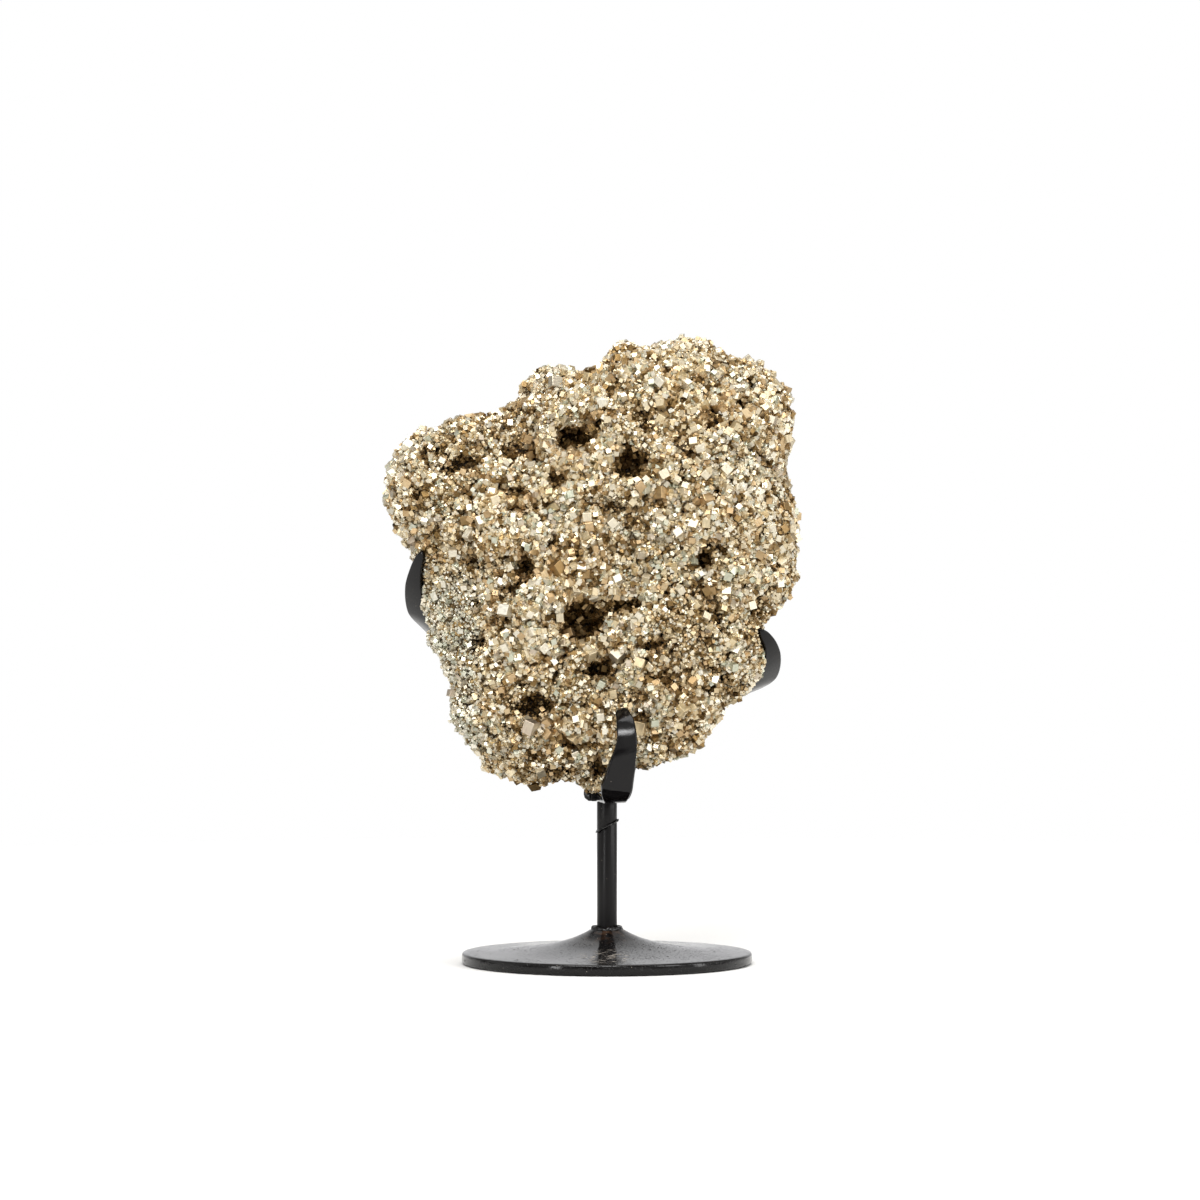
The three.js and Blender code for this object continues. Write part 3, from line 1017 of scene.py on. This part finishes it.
# The places where crystals can grow: every triangle of the mass, weighed by its area.
mass_mesh = matrix_piece.data
mass_mesh.calc_loop_triangles()
corner_at = np.empty(len(mass_mesh.vertices) * 3)
mass_mesh.vertices.foreach_get("co", corner_at)
corner_at = corner_at.reshape(-1, 3)
triangles = np.empty(len(mass_mesh.loop_triangles) * 3, int)
mass_mesh.loop_triangles.foreach_get("vertices", triangles)
triangles = triangles.reshape(-1, 3)
depth_at = np.empty(len(mass_mesh.vertices))
mass_mesh.attributes["depth"].data.foreach_get("value", depth_at)
first, second, third = (corner_at[triangles[:, k]] for k in range(3))
facing = np.cross(second - first, third - first)
area = np.linalg.norm(facing, axis=1) / 2
facing /= np.maximum(2 * area, 1e-12)[:, None]


def seeds(rng, count):
    """Random places on the mass: where, which way is out, and how deep in a hollow."""
    pick = rng.choice(len(area), count, p=area / area.sum())
    a, b = rng.random(count), rng.random(count)
    flip = a + b > 1
    a[flip], b[flip] = 1 - a[flip], 1 - b[flip]
    weights = np.stack([1 - a - b, a, b], 1)
    place = (corner_at[triangles[pick]] * weights[:, :, None]).sum(1)
    depth = (depth_at[triangles[pick]] * weights).sum(1)
    return place, facing[pick], depth


def turned(rng, count):
    """Random rotation matrices, even over all the ways a cube can lie."""
    q = rng.normal(size=(count, 4))
    q /= np.linalg.norm(q, axis=1)[:, None]
    w, x, y, z = q.T
    return np.stack(
        [
            np.stack([1 - 2 * (y * y + z * z), 2 * (x * y - w * z), 2 * (x * z + w * y)], 1),
            np.stack([2 * (x * y + w * z), 1 - 2 * (x * x + z * z), 2 * (y * z - w * x)], 1),
            np.stack([2 * (x * z - w * y), 2 * (y * z + w * x), 1 - 2 * (x * x + y * y)], 1),
        ],
        1,
    )


def template_cube(bevel):
    """One crystal with an edge of 1, its edges eased by bevel, as plain arrays to be copied."""
    cube = bmesh.new()
    bmesh.ops.create_cube(cube, size=1)
    if bevel:
        bmesh.ops.bevel(
            cube, geom=cube.edges[:], offset=bevel, segments=1, profile=0.5, affect="EDGES", material=-1
        )
    bmesh.ops.triangulate(cube, faces=cube.faces)
    places = np.array([v.co[:] for v in cube.verts])
    sides = np.array([[v.index for v in f.verts] for f in cube.faces])
    ways = np.array([f.normal[:] for f in cube.faces])
    cube.free()
    return places, sides, ways


def noise_at(places, size, shift=(0, 0, 0)):
    """Smooth noise of a given grain size at each place, from about -0.5 to 0.5."""
    return np.array([noise.noise(Vector(p) / size + Vector(shift)) for p in places])


def fit_by_claw(centre, edge, smallest):
    """Shrinks the cubes that would touch the claw, and tells which are still worth keeping."""
    keep = np.ones(len(edge), bool)
    for i, p in enumerate(centre):
        near = claw_surface.find_nearest(Vector(p), 6 * MM)
        if near[0] is not None:
            edge[i] = min(edge[i], (near[3] - 0.05 * MM) / 0.95)
            keep[i] = edge[i] > smallest * 0.6
    return keep


def cube_tints(rng, centre, edge, depth, flank):
    """Where each cube's tint lies across the tint map."""
    number = len(centre)
    # Some parts of the stone are browner than others, over a few centimetres.
    browner = noise_at(centre, 17 * MM, (9, 0, 0))
    warm = np.clip(rng.random(number) - 0.35 * browner, 0, 1)
    tint = np.select(
        [warm < 0.06, warm < 0.20, warm < 0.84, warm < 0.93],
        [
            rng.uniform(0.14, 0.26, number),
            rng.uniform(0.28, 0.40, number),
            rng.uniform(0.44, 0.74, number),
            rng.uniform(0.82, 0.90, number),
        ],
        rng.uniform(0.94, 0.98, number),
    )
    shadowed = np.clip((depth - 2.4) / 4.5, 0, 1)
    tint = tint * (1 - shadowed) + rng.uniform(0.06, 0.26, number) * shadowed
    # Painted shade: crystals in noise patches a few millimetres apart are darkened towards brown, standing
    # in for the creases between clumps.
    crease_shade = noise_at(centre, 3.4 * MM, (0, 0, 40))
    crease_shade = np.where(edge > 1.9 * MM, 0, np.clip((crease_shade - 0.22) / 0.16, 0, 1) * 0.85)
    tint = tint * (1 - crease_shade) + rng.uniform(0.0, 0.18, number) * crease_shade
    return tint * (1 - 0.55 * flank) + rng.uniform(0.93, 1.0, number) * 0.55 * flank


def lay_on_map(rng, mesh, tint, places, sides, ways):
    """Gives each face a small square of the tint map, so that every cube has its own brass."""
    number = len(tint)
    face_tint = np.repeat(tint, len(sides)) + rng.uniform(-0.015, 0.015, number * len(sides))
    face_level = np.repeat(rng.random(number), len(sides))
    in_plane = np.argsort(np.abs(ways), axis=1)[:, :2]
    local = np.stack([places[sides, in_plane[:, None, k]] for k in range(2)], -1)
    local = np.tile(local.reshape(-1, 2), (number, 1))
    chart = np.empty((number * len(sides) * 3, 2))
    chart[:, 0] = np.clip(np.repeat(face_tint, 3) + local[:, 0] * 0.02, 0.005, 0.995)
    chart[:, 1] = np.clip(np.repeat(face_level, 3) * 0.9 + 0.05 + local[:, 1] * 0.06, 0.005, 0.995)
    mesh.uv_layers.new(name="OFBake").data.foreach_set("uv", chart.ravel())


def grow(name, seed, count, smallest, typical, largest, bury, bevel=0.0):
    """One crop of cubes of a size range, joined as one piece that rides with the stone."""
    rng = np.random.default_rng(seed)
    place, out, depth = seeds(rng, count)
    # The lower left flank is a broken side of the stone: its crystals are finer and greyer.
    flank = np.clip((-46 - place[:, 0] / MM) / 8, 0, 1) * np.clip((158 - place[:, 2] / MM) / 10, 0, 1)
    spread = rng.normal(0, 0.32, count) + 0.65 * noise_at(place, 24 * MM) - 0.55 * flank
    edge = np.clip(typical * np.exp(spread) * np.where(depth > 4, 0.8, 1), smallest, largest)
    centre = place + out * (edge * rng.uniform(bury[0], bury[1], count))[:, None]
    keep = fit_by_claw(centre, edge, smallest)
    centre, edge, depth, flank = (a[keep] for a in (centre, edge, depth, flank))
    number = len(centre)
    spins = turned(rng, count)[keep]
    stretch = edge[:, None] * rng.uniform(0.85, 1.12, (number, 3))
    places, sides, ways = template_cube(bevel)
    points = np.einsum("nij,nvj->nvi", spins, places[None] * stretch[:, None]) + centre[:, None]
    corners = (sides[None] + (np.arange(number) * len(places))[:, None, None]).reshape(-1, 3)
    mesh = bpy.data.meshes.new(name)
    mesh.from_pydata(points.reshape(-1, 3), [], corners)
    tint = cube_tints(rng, centre, edge, depth, flank)
    lay_on_map(rng, mesh, tint, places, sides, ways)
    mesh.materials.append(crystal)
    piece = bpy.data.objects.new(name, mesh)
    bpy.context.scene.collection.objects.link(piece)
    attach(piece, "root")


share = 1.0
for part in range(5):
    name = f"crystals_fine_{part + 1}"
    grow(name, 11 + part, int(16000 * share), 0.6 * MM, 1.05 * MM, 1.9 * MM, (-0.1, 0.35))
grow("crystals_common", 21, int(15000 * share), 1.0 * MM, 1.45 * MM, 2.5 * MM, (0.0, 0.4))
grow("crystals_medium", 31, int(1700 * share), 1.9 * MM, 2.3 * MM, 3.4 * MM, (0.0, 0.4), bevel=0.03)
grow("crystals_large", 41, int(100 * share), 3.2 * MM, 3.6 * MM, 5.2 * MM, (0.1, 0.4), bevel=0.03)
